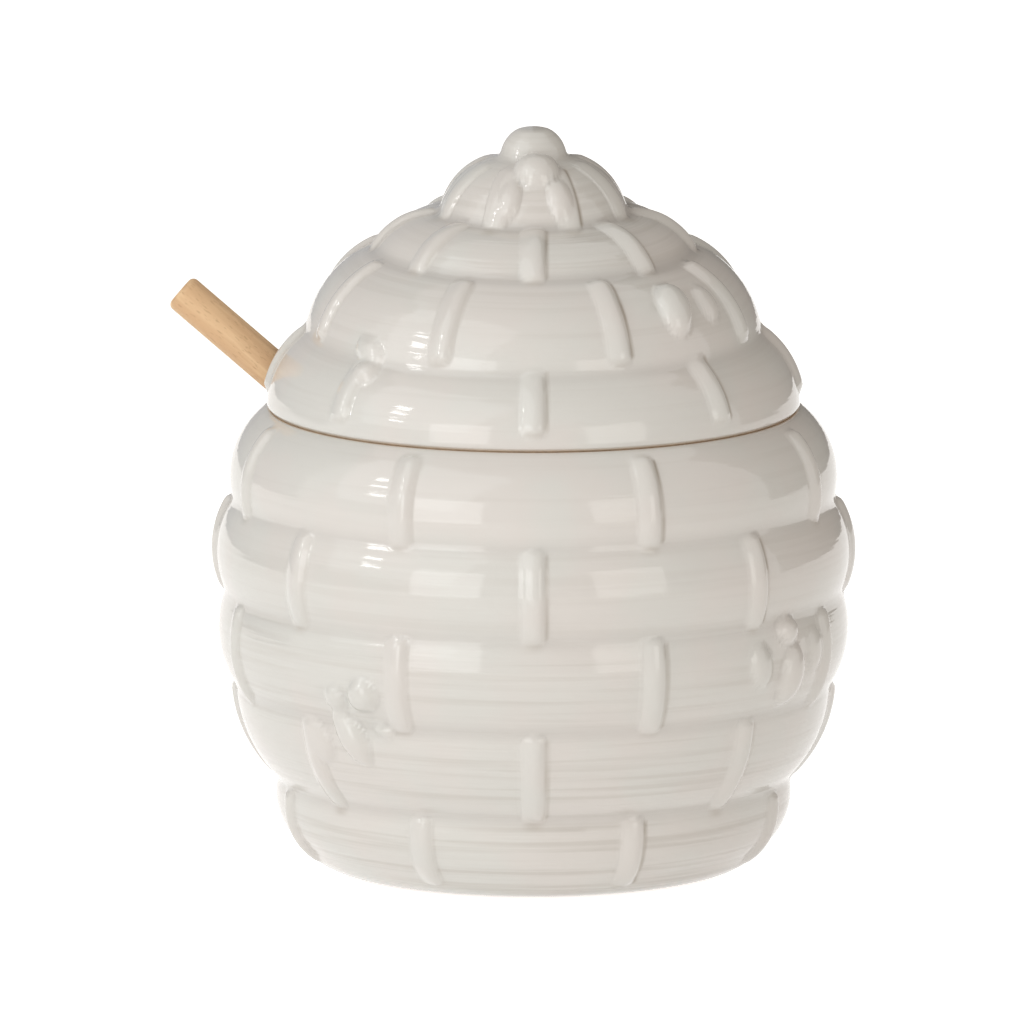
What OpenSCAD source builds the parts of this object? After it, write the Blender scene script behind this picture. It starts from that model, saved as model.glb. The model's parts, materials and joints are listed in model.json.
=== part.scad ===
// Honey pot shaped like a coiled straw beehive, with a lid that lifts off and a
// wooden dipper that leans out through a notch in the lid.
// Lengths are millimetres and angles degrees. Z is up and the foot stands on Z = 0.
// X points to the right and Y away from the viewer in the reference view.
// Rows of straw are numbered from the foot up: 1 to 5 on the pot, 6 to 9 on the lid.
// Grooves lie between them: groove 1 is above row 1.

/* [Pot] */
// Height of the rim above the table
rim_height = 86; // [84:0.5:90]
// Outer radius of the rim and of the lid's edge
rim_radius = 49.8; // [48:0.1:51]
// Width of the rim from the mouth to the outside
rim_width = 2.2; // [1.8:0.1:2.8]
// Rounding of the inner edge of the rim, where the dipper leans
rim_rounding = 1.2; // [0.8:0.1:1.6]
// Thickness of the floor
floor_thickness = 5; // [4:0.5:6.5]
// Thickness of the wall in the grooves
wall_thickness = 3.8; // [3.2:0.1:4.4]
// Radius of the flat that the pot stands on
foot_radius = 36.9; // [34:0.1:39]
// Rounding of the foot's outer edge
foot_rounding = 7.7; // [6:0.1:9]

/* [Rows of the pot] */
// Height of groove 1
groove_1_height = 16.6; // [15:0.1:18]
// Radius of groove 1
groove_1_radius = 47.8; // [46.5:0.1:49]
// Height of groove 2
groove_2_height = 34.1; // [32:0.1:36]
// Radius of groove 2
groove_2_radius = 55.6; // [54:0.1:57]
// Height of groove 3
groove_3_height = 51.8; // [50:0.1:54]
// Radius of groove 3
groove_3_radius = 57.6; // [56:0.1:59]
// Height of groove 4
groove_4_height = 69; // [67:0.1:71]
// Radius of groove 4
groove_4_radius = 56.2; // [54.5:0.1:57.5]
// How far row 1 swells beyond its grooves
row_1_swell = 1.6; // [1.2:0.1:2.2]
// How far row 2 swells
row_2_swell = 1.9; // [1.4:0.1:2.4]
// How far row 3 swells
row_3_swell = 2.2; // [1.6:0.1:2.8]
// How far row 4 swells
row_4_swell = 2.3; // [1.6:0.1:3]
// How far row 5 swells
row_5_swell = 3; // [2.4:0.1:3.6]

/* [Lid] */
// Height of the lid above the rim
lid_height = 53.4; // [52:0.1:56]
// Radius of the knob
knob_radius = 6.3; // [5.6:0.1:7]
// Thickness of the lid in its grooves, along the radius
lid_thickness = 3.4; // [3:0.1:4]
// Thickness of the crown under the knob
crown_thickness = 18.5; // [16:0.5:21]
// Depth of the flange that drops into the mouth
flange_depth = 4.5; // [3.5:0.1:5.5]
// Thickness of the flange
flange_thickness = 3.2; // [2.6:0.1:3.8]
// Gap between the flange and the mouth
flange_gap = 1; // [0.6:0.1:1.4]
// Chamfer on the lid's outer edge
edge_chamfer = 0.7; // [0.4:0.1:1]
// Gap beside the dipper's handle in the notch
notch_side_gap = 2; // [1.6:0.1:2.6]
// Gap above the dipper's handle in the notch
notch_top_gap = 2; // [1.4:0.1:2.6]

/* [Rows of the lid] */
// Height of groove 6 above the rim
groove_6_rise = 14.4; // [13:0.1:15.5]
// Radius of groove 6
groove_6_radius = 42.7; // [41.5:0.1:43.5]
// Height of groove 7 above the rim
groove_7_rise = 29.9; // [28.5:0.1:31]
// Radius of groove 7
groove_7_radius = 29.7; // [28.5:0.1:31]
// Height of groove 8 above the rim
groove_8_rise = 37; // [36:0.1:38.5]
// Radius of groove 8
groove_8_radius = 17.8; // [17:0.1:19]
// How far row 6 swells beyond its grooves
row_6_swell = 1.95; // [1.5:0.05:2.4]
// How far row 7 swells
row_7_swell = 2.95; // [2.4:0.05:3.4]
// How far row 8 swells
row_8_swell = 1.85; // [1.4:0.05:2.3]
// How far row 9 swells
row_9_swell = 2.4; // [1.8:0.05:2.9]

/* [Ribs] */
// Radius of the round cord that each rib copies
rib_radius = 1.9; // [1.6:0.1:2.2]
// Height of a rib above its row
rib_height = 1.1; // [0.8:0.1:1.3]

/* [Dipper] */
// Direction in which the dipper leans out, counted from the right, turning away
dipper_direction = 171; // [170:0.5:171.5]
// Slope of the dipper above the horizontal
dipper_slope = 39.8; // [38.5:0.1:41]
// Length of the whole dipper
dipper_length = 142; // [134:1:150]
// Diameter of the handle
handle_diameter = 7.2; // [6.6:0.1:7.6]
// Rounding of the handle's end
tip_rounding = 1.2; // [0.6:0.1:1.8]
// Length of the turned head
head_length = 32; // [30:1:36]
// Diameter of the head at its middle
head_diameter = 21; // [19:0.5:22]
// Diameter left at the bottom of the head's grooves
core_diameter = 11; // [10:0.2:12]
// Width of a groove in the head, and of the disc beside it
disc_thickness = 2.4; // [2:0.1:2.7]
// Wood left under the handle in the head
socket_floor = 10; // [6:0.5:14]
// Gap left where the dipper rests
rest_gap = 0.15; // [0.1:0.05:0.3]

/* [Hidden] */
$fn = 96;
fine = 48;

// Corners of the rows, as [radius, height]. Row 1 starts on the foot's rounding.
row_1_start = 0.64;
foot_corner = [foot_radius + foot_rounding, foot_rounding * row_1_start];
rim_corner = [rim_radius, rim_height];
knob_height = rim_height + lid_height - knob_radius;
knob_corner = [knob_radius - 0.5, knob_height + 0.5];
pot_corners = [
    foot_corner,
    [groove_1_radius, groove_1_height],
    [groove_2_radius, groove_2_height],
    [groove_3_radius, groove_3_height],
    [groove_4_radius, groove_4_height],
    rim_corner
];
lid_corners = [
    rim_corner,
    [groove_6_radius, rim_height + groove_6_rise],
    [groove_7_radius, rim_height + groove_7_rise],
    [groove_8_radius, rim_height + groove_8_rise],
    knob_corner
];
pot_swells = [row_1_swell, row_2_swell, row_3_swell, row_4_swell, row_5_swell];
lid_swells = [row_6_swell, row_7_swell, row_8_swell, row_9_swell];
core_inset = 1.5;
beyond = 80;

// Ribs: eight to a row, each row set half a step on from the one below. The extra
// angles run the ends of a rib on below and above its row, into the next rows.
ribs_in_row = 8;
rib_step = 360 / ribs_in_row;
pot_rib_turns = [0.5, 0, 0.5, 0, 0.5] * rib_step;
lid_rib_turns = [0, 0.5, 0, 0.5] * rib_step;
pot_rib_extra = [[15, 7], [5, 5], [6, 6], [7, 7], [7, 4]];
lid_rib_extra = [[4, 6], [6, 6], [7, 8], [9, 0]];

// Inside of the pot: straight stretches, one wall inside the grooves
mouth_radius = rim_radius - rim_width;
heel = [groove_1_radius - wall_thickness - 3.5, floor_thickness + 6.5];
heel_foot = [heel[0] - 3.5, floor_thickness + 2.2];
floor_edge = [heel[0] - 10, floor_thickness];
shoulder_angle = 27;
shoulder = arc_centre(pot_corners[4], rim_corner, row_5_swell)
    + (arc_radius(pot_corners[4], rim_corner, row_5_swell) - wall_thickness)
    * [cos(shoulder_angle), sin(shoulder_angle)];
neck_height = rim_height - rim_rounding - 2.6;

// Inside of the lid: a straight flange, then one wall inside the grooves
flange_outer = mouth_radius - flange_gap;
flange_inner = flange_outer - flange_thickness;
flange_bottom = rim_height - flange_depth;
hollow_top = rim_height + lid_height - crown_thickness;

// Line of the dipper: its handle passes over the rounded inner edge of the rim, and
// the corner of its head's end stops against the far wall, near groove 1.
handle_radius = handle_diameter / 2;
along = [cos(dipper_slope), sin(dipper_slope)];
across = [-sin(dipper_slope), cos(dipper_slope)];
rim_centre = [mouth_radius + rim_rounding, rim_height - rim_rounding];
over_rim = rim_centre + across * (handle_radius + rim_rounding + rest_gap);
end_corner = over_rim + across * handle_radius;
far_heel = [-heel[0], heel[1]];
far_low = [wall_thickness - groove_1_radius, groove_1_height];
far_high = [wall_thickness - groove_2_radius, groove_2_height];
reach = min(way_to(far_heel, far_low), way_to(far_low, far_high)) - rest_gap;
dipper_end = over_rim - along * reach;
head_arc = (pow(head_length / 2, 2) + pow((head_diameter - handle_diameter) / 2, 2))
    / (head_diameter - handle_diameter);
groove_count = 5;

// Notch in the lid's edge
notch_radius = handle_radius + notch_side_gap;
notch_inset = 2.3;
notch_face = rim_radius - notch_inset;
notch_top = over_rim[1] + tan(dipper_slope) * (notch_face - over_rim[0])
    + handle_radius / cos(dipper_slope) + notch_top_gap;

// Bees in low relief, made of eggs whose middles lie a little under the rows. Each line is
// [row, angle from the front to the right, share of the way up the row,
//  lean to the right, length, width, thickness].
bee_sink = 0.3;
pot_bees = [
    [2, -33, 0.36, 0, 6.6, 6.6, 4.8],
    [2, -39.3, 0.29, -25, 5.6, 5, 3.4],
    [1, -37.3, 0.88, -30, 12.5, 6, 5.2],
    [1, -46.2, 0.78, -28, 9.4, 7, 3.4],
    [1, -29.7, 0.97, -75, 5, 2.8, 3],
    [2, 53.6, 0.9, 0, 5.6, 6.2, 4.8],
    [2, 54.5, 0.42, 12, 12, 7, 5],
    [2, 46, 0.58, -14, 9, 6, 3],
    [2, 62.7, 0.63, -8, 8.6, 5.6, 2.6]
];
lid_bees = [
    [3, 3.5, 0.78, 0, 8.6, 8.6, 7],
    [3, 19, 0.36, 0, 9, 5, 3.6],
    [3, -17, 0.36, 0, 8, 4.4, 3],
    [1, 43.4, 0.53, 16, 11.5, 7.2, 5.6],
    [1, 57.1, 0.51, 10, 7.6, 5.4, 2.8],
    [0, -44.4, 0.88, 0, 5.6, 5.6, 4.6],
    [1, -45.9, 0.1, -67, 8.6, 5, 3.2]
];

// The pieces that can be shown, and the one to show

// Radius and centre of the arc from p up to q that swells by the given amount
function arc_radius(p, q, swell) = (pow(norm(q - p) / 2, 2) + swell * swell) / (2 * swell);
function arc_centre(p, q, swell) =
    (p + q) / 2 + [q[1] - p[1], p[0] - q[0]] / norm(q - p) * (swell - arc_radius(p, q, swell));
function angle_to(centre, p) = atan2(p[1] - centre[1], p[0] - centre[0]);

// How far the dipper runs down from the rim until its end's corner meets a wall
function way_to(a, b) = cross(b - a, end_corner - a) / cross(b - a, along);

// Side view of a stack of rows: whole circles that cross at the grooves, on a core
// that lies a little further in
module rows(corners, swells) {
    last = len(corners) - 1;
    polygon(concat(
        [[0, corners[0][1]]],
        [for (corner = corners) corner - [core_inset, 0]],
        [[0, corners[last][1]]]
    ));
    for (i = [0:last - 1]) {
        intersection() {
            translate(arc_centre(corners[i], corners[i + 1], swells[i]))
                circle(arc_radius(corners[i], corners[i + 1], swells[i]));
            translate([0, -beyond])
                square([beyond, 4 * beyond]);
        }
    }
}

// One rib: a piece of a ring that follows the arc of its row
module rib(p, q, swell, turn, extra) {
    centre = arc_centre(p, q, swell);
    low = angle_to(centre, p) - extra[0];
    high = angle_to(centre, q) + extra[1];
    rotate([0, 0, turn - 90])
        translate([centre[0], 0, centre[1]])
            rotate([90, 0, 0])
                rotate([0, 0, low])
                    rotate_extrude(angle = high - low)
                        translate([arc_radius(p, q, swell) + rib_height - rib_radius, 0])
                            circle(rib_radius, $fn = fine);
}

module ribs(corners, swells, turns, extras) {
    for (i = [0:len(swells) - 1]) {
        for (k = [0:ribs_in_row - 1]) {
            rib(corners[i], corners[i + 1], swells[i], turns[i] + k * rib_step, extras[i]);
        }
    }
}

module bees(eggs, corners, swells) {
    for (egg = eggs) {
        p = corners[egg[0]];
        q = corners[egg[0] + 1];
        centre = arc_centre(p, q, swells[egg[0]]);
        low = angle_to(centre, p);
        tilt = low + egg[2] * (angle_to(centre, q) - low);
        rotate([0, 0, egg[1] - 90])
            translate([centre[0], 0, centre[1]])
                rotate([0, -tilt, 0])
                    translate([arc_radius(p, q, swells[egg[0]]) - bee_sink, 0, 0])
                        rotate([-egg[3], 0, 0])
                            scale([egg[6] / egg[4], egg[5] / egg[4], 1])
                                sphere(egg[4] / 2);
    }
}

// Side view of the space inside the pot, above its rim and below its foot
module around_pot() {
    polygon([
        [0, floor_thickness],
        floor_edge,
        heel_foot,
        heel,
        [groove_1_radius - wall_thickness, groove_1_height],
        [groove_2_radius - wall_thickness, groove_2_height],
        [groove_3_radius - wall_thickness, groove_3_height],
        [groove_4_radius - wall_thickness, groove_4_height],
        shoulder,
        [mouth_radius, neck_height],
        [0, neck_height]
    ]);
    translate([0, neck_height - 1])
        square([mouth_radius, rim_height - neck_height + 2]);
    difference() {
        translate([0, rim_height - rim_rounding])
            square([mouth_radius + rim_rounding, rim_rounding + 1]);
        translate(rim_centre)
            circle(rim_rounding, $fn = fine);
    }
    translate([0, rim_height])
        square([beyond, beyond]);
    translate([0, -beyond])
        square([beyond, beyond]);
}

module pot() {
    color("WhiteSmoke")
    difference() {
        union() {
            rotate_extrude() {
                rows(pot_corners, pot_swells);
                polygon([
                    [0, -1],
                    [foot_radius, -1],
                    [foot_radius, foot_rounding],
                    [foot_corner[0] - core_inset, foot_corner[1] + 1],
                    [0, foot_corner[1] + 1]
                ]);
                translate([foot_radius, foot_rounding - 0.3])
                    circle(foot_rounding);
            }
            ribs(pot_corners, pot_swells, pot_rib_turns, pot_rib_extra);
            bees(pot_bees, pot_corners, pot_swells);
        }
        rotate_extrude()
            around_pot();
    }
}

// Side view of the space under the lid, around its flange and below its edge
module around_lid() {
    polygon([
        [0, flange_bottom - 1],
        [flange_inner, flange_bottom - 1],
        [flange_inner, rim_height + 2],
        [groove_6_radius - lid_thickness, rim_height + groove_6_rise - lid_thickness],
        [groove_7_radius - lid_thickness, rim_height + groove_7_rise - lid_thickness],
        [groove_8_radius - lid_thickness, hollow_top - 1.5],
        [0, hollow_top]
    ]);
    translate([0, flange_bottom - beyond])
        square([beyond, beyond]);
    polygon([
        [flange_outer, flange_bottom - 1],
        [flange_outer, rim_height],
        [rim_radius - edge_chamfer, rim_height],
        [rim_radius + 3, rim_height + 3 + edge_chamfer],
        [rim_radius + 3, flange_bottom - 1]
    ]);
}

// Notch for the dipper, open downwards, with a round top
module notch() {
    rotate([0, 0, dipper_direction])
        translate([flange_inner - 6, 0, notch_top - notch_radius])
            rotate([90, 0, 90])
                linear_extrude(24) {
                    circle(notch_radius);
                    translate([-notch_radius, -2 * notch_radius - flange_depth])
                        square([2 * notch_radius, 2 * notch_radius + flange_depth]);
                }
}

module lid() {
    color("WhiteSmoke")
    difference() {
        union() {
            rotate_extrude() {
                rows(lid_corners, lid_swells);
                translate([0, flange_bottom - 1])
                    square([flange_outer + 0.5, flange_depth + 2]);
                intersection() {
                    translate([0, knob_height])
                        circle(knob_radius);
                    translate([0, knob_height - knob_radius])
                        square([beyond, beyond]);
                }
            }
            ribs(lid_corners, lid_swells, lid_rib_turns, lid_rib_extra);
            bees(lid_bees, lid_corners, lid_swells);
        }
        rotate_extrude()
            around_lid();
        notch();
    }
}

// Sets a piece drawn up Z from the end of the dipper's head in its place
module in_place() {
    rotate([0, 0, dipper_direction])
        translate([dipper_end[0], 0, dipper_end[1]])
            rotate([0, 90 - dipper_slope, 0])
                children();
}

module dipper_handle() {
    color("BurlyWood")
    in_place()
        rotate_extrude() {
            translate([0, socket_floor])
                square([handle_radius, dipper_length - socket_floor - tip_rounding]);
            translate([0, dipper_length - tip_rounding - 1])
                square([handle_radius - tip_rounding, tip_rounding + 1]);
            translate([handle_radius - tip_rounding, dipper_length - tip_rounding])
                circle(tip_rounding, $fn = fine);
        }
}

module dipper_head() {
    color("BurlyWood")
    in_place()
        rotate_extrude()
            difference() {
                intersection() {
                    translate([head_diameter / 2 - head_arc, head_length / 2])
                        circle(head_arc, $fn = 2 * $fn);
                    square([head_diameter, head_length]);
                }
                for (i = [0:groove_count - 1]) {
                    middle = head_length / 2 + (i - (groove_count - 1) / 2) * 2 * disc_thickness;
                    translate([core_diameter / 2, middle - disc_thickness / 2])
                        square([head_diameter, disc_thickness]);
                }
                translate([0, socket_floor])
                    square([handle_radius, head_length]);
            }
}

pot();
lid();
dipper_handle();
dipper_head();
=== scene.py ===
"""Looks of a honey pot shaped like a coiled straw beehive: a glazed pot and lid whose
rows, bound ribs and bees are one flowing relief, and a dipper of turned beech."""
import json
import math

import bmesh
import bpy
import numpy as np
from mathutils import Matrix, Vector


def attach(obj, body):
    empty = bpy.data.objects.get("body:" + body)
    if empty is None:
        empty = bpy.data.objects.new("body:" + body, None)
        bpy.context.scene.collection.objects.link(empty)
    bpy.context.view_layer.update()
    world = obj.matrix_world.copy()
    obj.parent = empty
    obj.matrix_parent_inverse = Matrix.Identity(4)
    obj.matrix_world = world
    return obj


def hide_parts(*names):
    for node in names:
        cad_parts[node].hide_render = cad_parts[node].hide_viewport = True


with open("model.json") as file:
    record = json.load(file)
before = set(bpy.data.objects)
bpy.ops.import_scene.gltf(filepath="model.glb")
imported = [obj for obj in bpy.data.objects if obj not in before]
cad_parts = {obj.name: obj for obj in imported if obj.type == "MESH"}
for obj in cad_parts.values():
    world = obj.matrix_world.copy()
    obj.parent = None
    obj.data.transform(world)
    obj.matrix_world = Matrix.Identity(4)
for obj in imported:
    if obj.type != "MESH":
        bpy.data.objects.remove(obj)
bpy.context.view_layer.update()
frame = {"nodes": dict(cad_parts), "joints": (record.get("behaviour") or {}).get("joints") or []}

MM = 0.001

# Sizes in millimetres. The rows of straw are corners on the profile, from the foot up,
# and the swell of each row between its two corners
RIM_HEIGHT = 86.0
RIM_RADIUS = 49.8
MOUTH_RADIUS = 47.6
RIM_ROUNDING = 1.2
RIM_LEDGE = 0.6
MOUTH_BOTTOM = 82.2
FLOOR = 5.0
FOOT_RADIUS = 36.9
FOOT_ROUNDING = 7.7
FOOT_CORNER = (44.6, 4.9)
KNOB_RADIUS = 6.3
KNOB_HEIGHT = 133.1
KNOB_FLAT = 0.6
POT_CORNERS = [
    FOOT_CORNER, (47.8, 16.6), (55.6, 34.1), (57.6, 51.8), (56.2, 69.0),
    (RIM_RADIUS, RIM_HEIGHT)]
POT_SWELLS = [1.6, 1.9, 2.2, 2.3, 3.0]
LID_CORNERS = [(RIM_RADIUS, RIM_HEIGHT), (42.7, 100.4), (29.7, 115.9), (17.8, 123.0), (5.8, 133.6)]
LID_SWELLS = [1.95, 2.95, 1.85, 2.4]
POT_HOLLOW = [
    (51.3, 76.3), (52.4, 69.0), (53.8, 51.8), (51.8, 34.1), (44.0, 16.6), (40.5, 11.5),
    (37.0, FLOOR + 2.2), (30.5, FLOOR)]
LID_WALL = 3.4
HOLLOW_TOP = 120.9
HOLLOW_ROUNDING = 1.5
FLANGE_OUTER = 46.6
FLANGE_INNER = 43.4
FLANGE_BOTTOM = 81.5
FLANGE_CHAMFER = 0.8
FLANGE_ROOT = 2.0
EDGE_CHAMFER = 0.7
EDGE_SETBACK = 0.1

# Ribs are low straps, thicker along their right edge and thinner near the knob
RIB_HALF_WIDTH = 2.45
RIB_END = 1.5
RIB_HEIGHT = 0.95
RIB_ROUNDNESS = 1.6
RIB_TILT = 0.4
RIB_FULL_FROM = 24.0
RIBS_IN_ROW = 8
POT_RIB_TURNS = [22.5, 0, 22.5, 0, 22.5]
LID_RIB_TURNS = [0, 22.5, 0, 22.5]
# The ribs on the left sit a few degrees further round than even spacing: the share of
# this drift at some turns from the front, then the drift in degrees
RIB_DRIFT = ([-150, -90, -18, -4], [0, 1, 1, 0])
POT_RIB_DRIFT = 3.4
LID_RIB_DRIFT = 2.0
# Where the full height of a rib stops, inside its row's lower and upper corner
POT_RIB_INSETS = [(-2.2, 1.4), (0.5, 1.4), (0.5, 1.4), (0.5, 1.4), (0.5, 3.4)]
LID_RIB_INSETS = [(4.4, -0.4), (3.2, 2.2), (0.6, 1.0), (0.6, 4.5)]

# Notch in the lid for the dipper, open downwards with a round top
NOTCH_TURN = 171
NOTCH_RADIUS = 5.6
NOTCH_CENTRE = 91.24
NOTCH_REACH = (37.4, 61.4)
NOTCH_PAST = 2.0

# Painted shadow: a darker tan line right of each rib and below it, where the light from the
# left leaves shade, fainter towards the light: the share of it at some turns from the front comes
# last
RIB_SHADOW_OFFSET = 2.4
RIB_SHADOW_WIDTH = 0.75
RIB_SHADOW_BELOW = 0.5
RIB_SHADOW_BELOW_WIDTH = 2.6
RIB_SHADOW_BELOW_REACH = 1.0
RIB_SHADOW_END = 0.3
RIB_SHADOW_FADE = ([-15.75, 22.5], [0.15, 1])

# How clearly each row shows its straw under the glaze, from the foot up
POT_STRAW = [1.0, 0.75, 0.6, 0.3, 0.2]
LID_STRAW = [0.25, 0.35, 0.6, 0.5]

# Painted shade in each groove, from the foot up, and how wide that shade is
GROOVE_REACH = 2.4
POT_SHADES = [0.0, 0.5, 0.5, 0.4, 0.35, 0.0]
LID_SHADES = [0.0, 0.5, 1.0, 1.1, 0.5]

# The eggs that make the bees: row, turn from the front, share of the row's height, lean
# to the right, length, width, thickness
POT_BEES = [
    (2, -33, 0.36, 0, 6.6, 6.6, 4.8),
    (2, -39.3, 0.29, -25, 5.6, 5, 3.4),
    (1, -37.3, 0.88, -30, 12.5, 6, 5.2),
    (1, -46.2, 0.78, -28, 9.4, 7, 3.4),
    (1, -29.7, 0.97, -75, 5, 2.8, 3),
    (2, 53.6, 0.9, 0, 5.6, 6.2, 4.8),
    (2, 54.5, 0.42, 12, 12, 7, 5),
    (2, 46, 0.58, -14, 9, 6, 3),
    (2, 62.7, 0.63, -8, 8.6, 5.6, 2.6),
]
LID_BEES = [
    (3, 3.5, 0.78, 0, 8.6, 8.6, 7),
    (3, 19, 0.36, 0, 9, 5, 3.6),
    (3, -17, 0.36, 0, 8, 4.4, 3),
    (1, 43.4, 0.53, 16, 11.5, 7.2, 5.6),
    (1, 57.1, 0.51, 10, 7.6, 5.4, 2.8),
    (0, -44.4, 0.88, 0, 5.6, 5.6, 4.6),
    (1, -45.9, 0.1, -67, 8.6, 5, 3.2),
]
BEE_SINK = 0.3
BEE_FILLET = 0.5

# The lid's rows lie a little lower in front than behind: the drop per millimetre from
# the axis, and the heights between which it sets in
LID_LEAN = 0.04
LEAN_FROM = 90.0
LEAN_FULL = 102.0

# Fineness of the meshes, and how softly the glaze runs over corners
SEGMENTS = 600
SECTORS = 8
ROW_STEP = 0.85
GROOVE_PASSES = 2
FILLET = 0.8
LUMP_FILLET = 0.6
DEEP = -3.0
FOOT_STEP = 6
HIDDEN_STEP = 5
EDGE_STEP = 0.8
LIP_STEP = 0.4
NOTCH_SEGMENTS = 48
WELD = 1e-7

# Rise at which straw tones, the painted groove shade and the painted shadow beside the ribs
# have faded away
FLUSH_RISE = 0.35
RIB_SHADOW_RISE = 0.9


def arc_of(p, q, swell):
    """Radius and centre of the arc from p up to q that swells by the given amount."""
    p, q = np.array(p, float), np.array(q, float)
    chord = q - p
    half = np.linalg.norm(chord) / 2
    radius = (half ** 2 + swell ** 2) / (2 * swell)
    out = np.array([chord[1], -chord[0]]) / (2 * half)
    return radius, (p + q) / 2 + out * (swell - radius)


def angle_to(centre, p):
    return math.atan2(p[1] - centre[1], p[0] - centre[0])


def arc_points(centre, radius, start, end, step):
    count = max(2, round(abs(end - start) * radius / step))
    angles = np.linspace(start, end, count + 1)
    return [(centre[0] + radius * math.cos(a), centre[1] + radius * math.sin(a)) for a in angles]


def row_points(corners, swells):
    points = []
    for p, q, swell in zip(corners, corners[1:], swells):
        radius, centre = arc_of(p, q, swell)
        points += arc_points(centre, radius, angle_to(centre, p), angle_to(centre, q), ROW_STEP)[:-1]
    return points + [corners[-1]]


def line_points(points, step):
    """The same path with a point about every step millimetres."""
    path = [points[0]]
    for a, b in zip(points, points[1:]):
        count = max(1, round(math.dist(a, b) / step))
        path += [(a[0] + (b[0] - a[0]) * i / count, a[1] + (b[1] - a[1]) * i / count)
                 for i in range(1, count + 1)]
    return path


def softened(points, first, last):
    """Rounds the corners of a path between two of its places."""
    path = np.array(points, float)
    for _ in range(GROOVE_PASSES):
        middle = (path[:-2] + path[2:]) / 2
        path[first:last] = path[first:last] * 0.5 + middle[first - 1:last - 1] * 0.5
    return path


def smooth_max(a, b, width):
    near = np.clip(width - np.abs(a - b), 0, None) / width
    return np.maximum(a, b) + near * near * width / 4


def hump(x, width):
    """1 at x = 0, falling softly to 0 at the given width on either side."""
    return np.clip(1 - (x / width) ** 2, 0, None) ** 2


class Side:
    """Side view of a turned piece: a path with its lengths, normals and row marks."""

    def __init__(self, path, shown, bare):
        self.path = path
        self.shown = shown
        self.bare = bare
        steps = np.linalg.norm(np.diff(path, axis=0), axis=1)
        self.along = np.concatenate([[0], np.cumsum(steps)])
        tangent = np.gradient(path, axis=0)
        tangent /= np.linalg.norm(tangent, axis=1)[:, None]
        self.normal = np.stack([tangent[:, 1], -tangent[:, 0]], axis=1)

    def marks(self, corners):
        """How far along the path each corner between the rows lies."""
        first, last = self.shown
        part = self.path[first:last]
        near = [np.linalg.norm(part - np.array(corner), axis=1).argmin() for corner in corners]
        return self.along[first + np.array(near)]


def rib_field(radius, turn, drift, flat, corners, swells, turns, insets):
    """How far the ribs stand out of the rows, and the painted shadow beside and below them."""
    rise = np.full(len(turn), DEEP)
    rib_shadow = np.zeros(len(turn))
    step = 360 / RIBS_IN_ROW
    for p, q, swell, middle, inset in zip(corners, corners[1:], swells, turns, insets):
        arc, centre = arc_of(p, q, swell)
        off = flat - centre
        away = np.linalg.norm(off, axis=1)
        angle = np.degrees(np.arctan2(off[:, 1], off[:, 0]))
        low = math.degrees(angle_to(centre, p) + inset[0] / arc)
        high = math.degrees(angle_to(centre, q) - inset[1] / arc)
        past = np.radians(np.clip(np.maximum(low - angle, angle - high), 0, None)) * arc
        side = (turn + drift - middle + step / 2) % step - step / 2
        across = np.radians(side) * radius
        room = 1 - (across / RIB_HALF_WIDTH) ** 2 - (past / RIB_END) ** 2
        height = RIB_HEIGHT * (1 + RIB_TILT * across / RIB_HALF_WIDTH)
        height = height * np.minimum(radius / RIB_FULL_FROM, 1)
        dome = RIB_ROUNDNESS * np.sqrt(np.clip(room, 0, None)) - (RIB_ROUNDNESS - 1)
        strap = arc - away + height * dome
        rise = np.maximum(rise, np.where(room > 0, strap, DEEP))
        # painted shadow right of the rib, fainter towards the light, and below its lower end
        beside = hump(across - RIB_SHADOW_OFFSET, RIB_SHADOW_WIDTH) * np.interp(turn, *RIB_SHADOW_FADE)
        below = np.radians(angle - low) * arc + RIB_SHADOW_BELOW_REACH
        under = hump(below, RIB_SHADOW_BELOW_REACH) * hump(across, RIB_SHADOW_BELOW_WIDTH)
        rib_shadow = np.maximum(rib_shadow, beside * (past < RIB_SHADOW_END) + RIB_SHADOW_BELOW * under)
    return rise, rib_shadow


def bee_field(radius, turn, along, bees, marks):
    """How far the eggs that make the bees stand out of the rows."""
    rise = np.full(len(turn), DEEP)
    for row, bee_turn, share, lean, length, width, thickness in bees:
        across = np.radians(turn - bee_turn) * radius
        up = along - (marks[row] + share * (marks[row + 1] - marks[row]))
        a = math.radians(lean)
        u = (across * math.cos(a) - up * math.sin(a)) / (width / 2)
        v = (across * math.sin(a) + up * math.cos(a)) / (length / 2)
        room = 1 - u * u - v * v
        egg = thickness / 2 * np.sqrt(np.clip(room, 0, None)) - BEE_SINK
        rise = smooth_max(rise, np.where(room > 0, egg, DEEP), BEE_FILLET)
    return rise


def link_piece(name, bm):
    """A smooth piece from a closed shape, with its faces pointing outwards."""
    bmesh.ops.recalc_face_normals(bm, faces=bm.faces)
    mesh = bpy.data.meshes.new(name)
    bm.to_mesh(mesh)
    bm.free()
    mesh.shade_smooth()
    piece = bpy.data.objects.new(name, mesh)
    bpy.context.scene.collection.objects.link(piece)
    return piece


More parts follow.
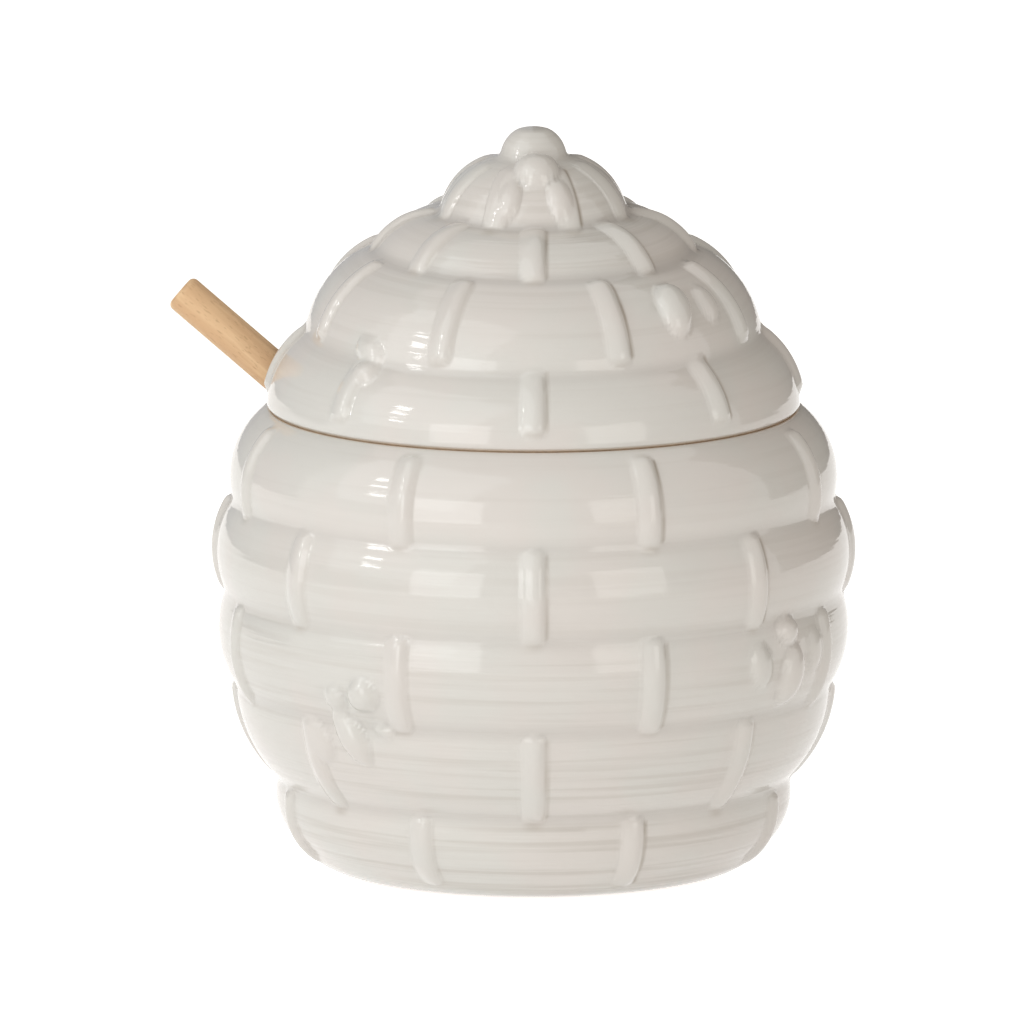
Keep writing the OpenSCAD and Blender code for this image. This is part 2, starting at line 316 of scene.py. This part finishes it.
def spun(name, path):
    """A closed shape made by turning a path, from axis to axis, about the Z axis."""
    bm = bmesh.new()
    place = bm.verts.layers.int.new("place")
    verts = [bm.verts.new((r * MM, 0, z * MM)) for r, z in path]
    for i, vert in enumerate(verts):
        vert[place] = i
    edges = [bm.edges.new(pair) for pair in zip(verts, verts[1:])]
    bmesh.ops.spin(bm, geom=verts + edges, cent=(0, 0, 0), axis=(0, 0, 1),
                   angle=math.tau / SECTORS, steps=SEGMENTS // SECTORS)
    sectors = 1
    while sectors < SECTORS:
        copy = bmesh.ops.duplicate(bm, geom=bm.verts[:] + bm.edges[:] + bm.faces[:])
        moved = [v for v in copy["geom"] if isinstance(v, bmesh.types.BMVert)]
        bmesh.ops.rotate(bm, verts=moved, cent=(0, 0, 0),
                         matrix=Matrix.Rotation(math.tau * sectors / SECTORS, 3, "Z"))
        sectors *= 2
    bmesh.ops.remove_doubles(bm, verts=bm.verts, dist=WELD)
    return link_piece(name, bm)


def keep(mesh, name, values):
    """Stores a number for every vertex, for the material to read."""
    layer = mesh.attributes.new(name, "FLOAT", "POINT")
    layer.data.foreach_set("value", np.ascontiguousarray(values, dtype=np.float32))


def raise_relief(piece, side, corners, swells, turns, insets, drift, bees, straws, shades):
    """Pushes the ribs and bees out of the rows, and keeps what the glaze needs to know."""
    mesh = piece.data
    co = np.empty(len(mesh.vertices) * 3)
    mesh.vertices.foreach_get("co", co)
    co = co.reshape(-1, 3) / MM
    index = np.empty(len(co), np.int32)
    mesh.attributes["place"].data.foreach_get("value", index)
    mesh.attributes.remove(mesh.attributes["place"])
    radius = np.hypot(co[:, 0], co[:, 1])
    turn = np.degrees(np.arctan2(co[:, 0], -co[:, 1]))
    flat = side.path[index]
    along = side.along[index]
    marks = side.marks(corners)
    shown = (index >= side.shown[0]) & (index < side.shown[1])
    drifted = drift * np.interp(turn, *RIB_DRIFT)
    ribs, rib_shadow = rib_field(radius, turn, drifted, flat, corners, swells, turns, insets)
    lumps = bee_field(radius, turn, along, bees, marks)
    rise = smooth_max(smooth_max(ribs, lumps, LUMP_FILLET), np.zeros(len(co)), FILLET)
    rise[~shown] = 0
    out = side.normal[index]
    co[:, 0] += rise * out[:, 0] * np.sin(np.radians(turn))
    co[:, 1] -= rise * out[:, 0] * np.cos(np.radians(turn))
    co[:, 2] += rise * out[:, 1]
    mesh.vertices.foreach_set("co", (co * MM).ravel())
    mesh.update()
    # painted shade along each groove
    gaps = along[:, None] - marks[None, :]
    shade = (hump(gaps, GROOVE_REACH) * np.array(shades)).max(axis=1)
    row = np.clip(np.searchsorted(marks, along) - 1, 0, len(straws) - 1)
    flush = np.clip(1 - rise / FLUSH_RISE, 0, 1)
    spared = np.clip(1.2 - rise / RIB_SHADOW_RISE, 0, 1)
    keep(mesh, "along", along * MM)
    keep(mesh, "straw", np.array(straws)[row] * flush * shown)
    # painted shadow beside and below the ribs, spared on their raised tops
    keep(mesh, "rib_shadow", np.clip(rib_shadow, 0, 1) * shown * spared)
    keep(mesh, "groove", shade * shown * flush)
    keep(mesh, "bare", side.bare[index].astype(float))


def pot_side():
    """Side of the pot from under the foot, over the rows and the rim, to the floor inside."""
    foot = line_points([(0, 0), (FOOT_RADIUS, 0)], FOOT_STEP)
    corner_angle = math.atan2(FOOT_CORNER[1] - FOOT_ROUNDING, FOOT_CORNER[0] - FOOT_RADIUS)
    edge = arc_points((FOOT_RADIUS, FOOT_ROUNDING), FOOT_ROUNDING, -math.pi / 2,
                      corner_angle, EDGE_STEP)
    rows = row_points(POT_CORNERS, POT_SWELLS)
    rim = [(RIM_RADIUS - RIM_LEDGE, RIM_HEIGHT), (MOUTH_RADIUS + RIM_ROUNDING, RIM_HEIGHT)]
    lip = arc_points((MOUTH_RADIUS + RIM_ROUNDING, RIM_HEIGHT - RIM_ROUNDING), RIM_ROUNDING,
                     math.pi / 2, math.pi, LIP_STEP)
    inside = line_points([lip[-1], (MOUTH_RADIUS, MOUTH_BOTTOM)] + POT_HOLLOW + [(0, FLOOR)],
                         HIDDEN_STEP)
    first = len(foot)
    last = first + len(edge) - 2 + len(rows)
    path = softened(foot + edge[1:-1] + rows + rim + lip[:-1] + inside, first, last - 2)
    bare = np.zeros(len(path))
    bare[:first + 1] = 1
    bare[last:last + 2] = 1
    return Side(path, (first, last), bare)


def lid_side():
    """Side of the lid from under its crown, round the flange and edge, up over the knob."""
    low, middle, high = [(r - LID_WALL, z - LID_WALL) for r, z in LID_CORNERS[1:4]]
    under = line_points([
        (0, HOLLOW_TOP), (high[0], HOLLOW_TOP - HOLLOW_ROUNDING), middle, low,
        (FLANGE_INNER, RIM_HEIGHT + FLANGE_ROOT), (FLANGE_INNER, FLANGE_BOTTOM)], HIDDEN_STEP)
    flange = [(FLANGE_INNER + FLANGE_CHAMFER, FLANGE_BOTTOM),
              (FLANGE_OUTER - FLANGE_CHAMFER, FLANGE_BOTTOM),
              (FLANGE_OUTER, FLANGE_BOTTOM + FLANGE_CHAMFER), (FLANGE_OUTER, RIM_HEIGHT)]
    edge = [(RIM_RADIUS - EDGE_CHAMFER, RIM_HEIGHT),
            (RIM_RADIUS - EDGE_SETBACK, RIM_HEIGHT + EDGE_CHAMFER)]
    rows = row_points(LID_CORNERS, LID_SWELLS)[1:-1]
    start = math.asin((LID_CORNERS[-1][1] - KNOB_HEIGHT) / KNOB_RADIUS)
    knob = arc_points((0, KNOB_HEIGHT), KNOB_RADIUS, start, math.pi / 2, EDGE_STEP)
    knob = [(r, min(z, KNOB_HEIGHT + KNOB_RADIUS - KNOB_FLAT)) for r, z in knob]
    first = len(under) + len(flange) + len(edge) - 1
    points = under + flange + edge + rows + knob
    last = len(points)
    path = softened(points, first + 2, last - 1)
    path[-1][0] = 0
    bare = np.zeros(len(path))
    bare[len(under) + 3:len(under) + len(flange) + 1] = 1
    return Side(path, (first, last), bare)


def cut_notch(piece):
    """Cuts the dipper's notch through the lid's edge and flange."""
    bm = bmesh.new()
    near, far = (r * MM for r in NOTCH_REACH)
    bmesh.ops.create_circle(bm, cap_ends=True, segments=NOTCH_SEGMENTS, radius=NOTCH_RADIUS * MM)
    bottom = (FLANGE_BOTTOM - NOTCH_PAST - NOTCH_CENTRE) * MM
    for vert in bm.verts:
        if vert.co.y < -WELD:
            in_the_middle = abs(vert.co.x) < 10 * WELD
            vert.co.x = 0 if in_the_middle else math.copysign(NOTCH_RADIUS * MM, vert.co.x)
            vert.co.y = bottom
    bmesh.ops.remove_doubles(bm, verts=bm.verts, dist=WELD)
    top = bmesh.ops.extrude_face_region(bm, geom=bm.faces[:])
    moved = [v for v in top["geom"] if isinstance(v, bmesh.types.BMVert)]
    bmesh.ops.translate(bm, verts=moved, vec=(0, 0, far - near))
    turn = Matrix.Rotation(math.radians(NOTCH_TURN), 4, "Z")
    stand = Matrix(((0, 0, 1, 0), (1, 0, 0, 0), (0, 1, 0, 0), (0, 0, 0, 1)))
    place = Matrix.Translation((near, 0, NOTCH_CENTRE * MM))
    bmesh.ops.transform(bm, matrix=turn @ place @ stand, verts=bm.verts)
    cutter = link_piece("notch_cutter", bm)
    boolean = piece.modifiers.new("notch", "BOOLEAN")
    boolean.operation = "DIFFERENCE"
    boolean.solver = "MANIFOLD"
    boolean.object = cutter
    graph = bpy.context.evaluated_depsgraph_get()
    mesh = bpy.data.meshes.new_from_object(piece.evaluated_get(graph))
    piece.modifiers.clear()
    old = piece.data
    piece.data = mesh
    mesh.name = old.name
    bpy.data.meshes.remove(old)
    bpy.data.objects.remove(cutter)


def lean_rows(piece):
    """Lowers the front of the lid's rows a little and lifts their back."""
    for vert in piece.data.vertices:
        share = min(max((vert.co.z / MM - LEAN_FROM) / (LEAN_FULL - LEAN_FROM), 0), 1)
        vert.co.z += LID_LEAN * share * vert.co.y


def make_turned(name, side, *relief):
    piece = spun(name, side.path)
    raise_relief(piece, side, *relief)
    return piece


class Socket:
    """An output of a material's node. Arithmetic on it adds Math nodes."""

    def __init__(self, finish, link):
        self.finish = finish
        self.link = link

    def math(self, operation, a, b):
        return self.finish.node("Math", {"operation": operation}, {0: a, 1: b})

    def __add__(self, other):
        return self.math("ADD", self, other)

    def __mul__(self, other):
        return self.math("MULTIPLY", self, other)

    __radd__ = __add__
    __rmul__ = __mul__


class Finish:
    """A material being made: its nodes, and the shader that they feed."""

    def __init__(self, name):
        self.material = bpy.data.materials.new(name)
        self.material.use_nodes = True
        self.tree = self.material.node_tree
        self.shader = self.tree.nodes["Principled BSDF"]

    def node(self, kind, settings=None, values=None, output=0):
        made = self.tree.nodes.new("ShaderNode" + kind)
        for name, value in (settings or {}).items():
            setattr(made, name, value)
        for socket, value in (values or {}).items():
            self.feed(made.inputs[socket], value)
        return Socket(self, made.outputs[output])

    def feed(self, socket, value):
        if isinstance(value, Socket):
            self.tree.links.new(value.link, socket)
        else:
            socket.default_value = value

    def surface(self, **values):
        """Sets the shader's sockets, whose names have _ for their spaces."""
        for name, value in values.items():
            self.feed(self.shader.inputs[name.replace("_", " ")], value)

    def kept(self, name):
        return self.node("Attribute", {"attribute_name": name}, output="Fac")

    def noise(self, vector, scale, detail=2.0, roughness=0.5):
        return self.node("TexNoise", None, {
            "Vector": vector, "Scale": scale, "Detail": detail, "Roughness": roughness})

    def mix(self, share, a, b):
        """Colour that goes from a to b as share goes from 0 to 1."""
        return self.node("Mix", {"data_type": "RGBA"}, {0: share, 6: a, 7: b}, output=2)

    def between(self, value, low, high):
        """0 where value is below low, 1 above high, smooth between."""
        return self.node("MapRange", {"interpolation_type": "SMOOTHSTEP"},
                         {"Value": value, "From Min": low, "From Max": high})

    def bump(self, height, distance, over=None):
        values = {"Height": height, "Distance": distance, "Strength": 1.0}
        if over:
            values["Normal"] = over
        return self.node("Bump", None, values)


def colour(r, g, b):
    """A colour written as screen values from 0 to 255, as Blender's linear one."""
    def linear(c):
        c /= 255
        return c / 12.92 if c <= 0.04045 else ((c + 0.055) / 1.055) ** 2.4
    return linear(r), linear(g), linear(b), 1


# Depths of the relief that only the materials draw, in metres
RIPPLE_DEPTH = 0.00004
STRAW_DEPTH = 0.0003
GRAIN_DEPTH = 0.00012


def glaze():
    """Off-white gloss over fine straw, with painted shade in the grooves and painted shadow beside
    the ribs, bare at the rim.
    """
    f = Finish("glaze")
    place = f.node("TexCoord", output="Object")
    x = f.node("SeparateXYZ", None, {0: place}, output="X")
    y = f.node("SeparateXYZ", None, {0: place}, output="Y")
    along, straw, rib_shadow = f.kept("along"), f.kept("straw"), f.kept("rib_shadow")
    groove, bare = f.kept("groove"), f.kept("bare")
    lie = f.node("CombineXYZ", None, {"X": x * 16, "Y": y * 16, "Z": along * 640})
    thick = f.node("CombineXYZ", None, {"X": x * 9, "Y": y * 9, "Z": along * 310})
    fine = f.noise(lie, 1.0, 2.0, 0.55)
    coarse = f.noise(thick, 1.0)
    lines = fine * 0.65 + coarse * 0.35
    cloud = f.noise(place, 52.0, 2.0)
    flow = f.noise(place, 130.0, 2.0)
    body = f.mix(f.between(cloud, 0.38, 0.62), colour(220, 218, 213), colour(222, 217, 212))
    shade = straw * f.between(lines, 0.52, 0.36) * 0.5
    body = f.mix(shade, body, colour(196, 190, 182))
    # painted shade in the grooves, under the overhang of each row
    body = f.mix(groove * 0.55, body, colour(186, 181, 176))
    # painted shadow: a tan line right of each rib and below it, where light from the left leaves
    # shade
    body = f.mix(rib_shadow * (f.between(flow, 0.35, 0.65) * 0.3 + 0.4), body, colour(158, 145, 127))
    clay = f.mix(f.noise(place, 900.0, 3.0), colour(190, 166, 140), colour(220, 198, 170))
    body = f.mix(bare, body, clay)
    ripple = f.bump(flow, RIPPLE_DEPTH)
    normal = f.bump(lines * straw, STRAW_DEPTH, ripple)
    f.surface(Base_Color=body, Roughness=bare * 0.6 + 0.07, Normal=normal, IOR=1.5)
    return f.material


def beech(direction):
    """Pale beech with its grain and short dark flecks along the given direction."""
    f = Finish("beech")
    turn = Vector(direction).rotation_difference(Vector((0, 0, 1))).to_euler()
    place = f.node("TexCoord", output="Object")
    lie = f.node("Mapping", None, {"Vector": place, "Rotation": turn})
    grain = f.node("Mapping", None, {"Vector": lie, "Scale": (1.0, 1.0, 0.07)})
    streak = f.noise(grain, 420.0, 3.0, 0.6)
    dash = f.node("Mapping", None, {"Vector": lie, "Scale": (1.0, 1.0, 0.2)})
    fleck = f.noise(dash, 3600.0, 1.0)
    cloud = f.noise(lie, 90.0, 2.0)
    body = f.mix(f.between(streak, 0.36, 0.66), colour(216, 177, 136), colour(239, 205, 162))
    body = f.mix(f.between(cloud, 0.45, 0.75) * 0.5, body, colour(224, 184, 142))
    body = f.mix(f.between(fleck, 0.62, 0.72) * 0.4, body, colour(172, 130, 92))
    normal = f.bump(streak * 0.6 + fleck * 0.4, GRAIN_DEPTH)
    f.surface(Base_Color=body, Roughness=0.55 + streak * 0.1, Normal=normal)
    return f.material


pot = make_turned("glazed_pot", pot_side(), POT_CORNERS, POT_SWELLS, POT_RIB_TURNS,
                  POT_RIB_INSETS, POT_RIB_DRIFT, POT_BEES, POT_STRAW, POT_SHADES)
lid = make_turned("glazed_lid", lid_side(), LID_CORNERS, LID_SWELLS, LID_RIB_TURNS,
                  LID_RIB_INSETS, LID_RIB_DRIFT, LID_BEES, LID_STRAW, LID_SHADES)
lean_rows(lid)
cut_notch(lid)
gloss = glaze()
for piece, body in ((pot, "pot"), (lid, "lid")):
    piece.data.materials.clear()
    piece.data.materials.append(gloss)
    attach(piece, body)
    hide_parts(body)
dipper_axis = next(joint for joint in frame["joints"] if joint["name"] == "dipper_pull")["axis"]
wood = beech(dipper_axis)
for node in ("dipper_handle", "dipper_head"):
    frame["nodes"][node].data.materials.clear()
    frame["nodes"][node].data.materials.append(wood)

# Camera: far away and narrow, 10 degrees above the level of the table
ELEVATION = math.radians(10.1)
DISTANCE = 6.0
FRAME_WIDTH = 0.1914
AIM = Vector((-0.004, 0, 0.06607))


def facing(azimuth, elevation):
    """Direction out from the pot, azimuth counted from the viewer to the right."""
    a, e = math.radians(azimuth), math.radians(elevation)
    return Vector((math.sin(a) * math.cos(e), -math.cos(a) * math.cos(e), math.sin(e)))


def aimed(thing, direction, distance):
    """Sets a camera or lamp on a line out from the aim, looking back along it."""
    thing.location = AIM + direction * distance
    thing.rotation_euler = direction.to_track_quat("Z", "Y").to_euler()
    bpy.context.scene.collection.objects.link(thing)


def make_camera():
    data = bpy.data.cameras.new("camera")
    data.sensor_width = 36
    data.lens = 36 * DISTANCE / FRAME_WIDTH
    camera = bpy.data.objects.new("camera", data)
    aimed(camera, facing(0, math.degrees(ELEVATION)), DISTANCE)
    bpy.context.scene.camera = camera


def make_lamp(name, azimuth, elevation, size, radiance, tint, distance=1.2):
    """A soft panel of light, size in metres, that only the camera can't see."""
    data = bpy.data.lights.new(name, "AREA")
    data.shape = "RECTANGLE"
    data.size, data.size_y = size
    data.energy = radiance * math.pi * size[0] * size[1]
    data.color = tint
    lamp = bpy.data.objects.new(name, data)
    lamp.visible_camera = False
    aimed(lamp, facing(azimuth, elevation), distance)


WHITE = (1.0, 1.0, 1.0)
COOL = (0.90, 0.98, 1.0)
WARM = (1.0, 0.97, 0.92)
WORLD_LIGHT = (0.44, 0.405, 0.37, 1)

# The window's slats of light: their number, the place of the lowest, the step from one to
# the next as azimuth and elevation in degrees, their size in metres and their radiance
SLATS = 3
SLAT_START = (-63, 21)
SLAT_STEP = (-2, 8.5)
SLAT_SIZE = (0.15, 0.09)
SLAT_RADIANCE = 9.0

# Grey screens behind the pot, in metres, and how much the table glows: for every ray, and
# on top of that for rays that show it
SCREEN_DISTANCE = 1.8
SCREEN_HEIGHT = 2.6
SCREEN_STEPS = 24
TABLE_HALF = 6
TABLE_DROP = 0.0002
TABLE_GLOW = 0.24
TABLE_SEEN_GLOW = 0.55


def make_lamps():
    make_lamp("key", -55, 38, (1.5, 1.5), 0.91, COOL, 1.5)
    make_lamp("front_left", -31, 10.5, (0.31, 0.37), 2.0, WHITE, 0.7)
    make_lamp("front_right", 35, 10.5, (0.32, 0.37), 1.6, WARM, 0.7)
    for slat in range(SLATS):
        azimuth, elevation = (start + step * slat for start, step in zip(SLAT_START, SLAT_STEP))
        make_lamp(f"window_{slat}", azimuth, elevation, SLAT_SIZE, SLAT_RADIANCE, WHITE)


def make_screen(name, start, end, shade):
    """A grey screen behind the pot, which only darkens what its gloss shows there."""
    bm = bmesh.new()
    foot = bm.verts.new(facing(start, 0) * SCREEN_DISTANCE)
    head = bm.verts.new(foot.co + Vector((0, 0, SCREEN_HEIGHT)))
    edge = bm.edges.new((foot, head))
    bmesh.ops.spin(bm, geom=[foot, head, edge], cent=(0, 0, 0), axis=(0, 0, 1),
                   angle=math.radians(end - start), steps=SCREEN_STEPS)
    screen = link_piece(name, bm)
    finish = Finish(name)
    finish.surface(Base_Color=(0, 0, 0, 1), Specular_IOR_Level=0.0, Emission_Color=shade,
                   Emission_Strength=1.0)
    screen.data.materials.append(finish.material)
    for ray in ("camera", "diffuse", "transmission", "shadow"):
        setattr(screen, "visible_" + ray, False)


def make_world():
    """White as seen, and dimmer and a little warm as light on the pot."""
    world = bpy.data.worlds.new("studio")
    bpy.context.scene.world = world
    world.use_nodes = True
    nodes, links = world.node_tree.nodes, world.node_tree.links
    seen = seen_part(nodes, links)
    mix = nodes.new("ShaderNodeMix")
    mix.data_type = "RGBA"
    mix.inputs[6].default_value = WORLD_LIGHT
    mix.inputs[7].default_value = (1, 1, 1, 1)
    links.new(seen, mix.inputs[0])
    links.new(mix.outputs[2], nodes["Background"].inputs["Color"])


def seen_part(nodes, links):
    """1 for rays that show the background: from the camera, in gloss and through glass."""
    path = nodes.new("ShaderNodeLightPath")
    total = path.outputs["Is Camera Ray"]
    for name in ("Is Glossy Ray", "Is Transmission Ray"):
        add = nodes.new("ShaderNodeMath")
        add.operation = "MAXIMUM"
        links.new(total, add.inputs[0])
        links.new(path.outputs[name], add.inputs[1])
        total = add.outputs[0]
    return total


def make_floor():
    """A pale table that stays white around the pot's soft shadow."""
    bm = bmesh.new()
    bmesh.ops.create_grid(bm, x_segments=1, y_segments=1, size=TABLE_HALF)
    bmesh.ops.translate(bm, verts=bm.verts, vec=(0, 0, -TABLE_DROP))
    floor = link_piece("table", bm)
    finish = Finish("white_table")
    nodes, links = finish.tree.nodes, finish.tree.links
    finish.surface(Base_Color=(0.8, 0.8, 0.8, 1), Roughness=0.9, Specular_IOR_Level=0.0,
                   Emission_Color=(1, 1, 1, 1))
    lift = nodes.new("ShaderNodeMath")
    lift.operation = "MULTIPLY_ADD"
    lift.inputs[1].default_value = TABLE_SEEN_GLOW
    lift.inputs[2].default_value = TABLE_GLOW
    links.new(seen_part(nodes, links), lift.inputs[0])
    links.new(lift.outputs[0], finish.shader.inputs["Emission Strength"])
    floor.data.materials.append(finish.material)


make_camera()
make_lamps()
make_world()
make_floor()
make_screen("screen_left", -180, -100, (0.42, 0.43, 0.45, 1))
make_screen("screen_right", 100, 180, (0.17, 0.16, 0.15, 1))
bpy.context.scene.view_settings.view_transform = "Standard"
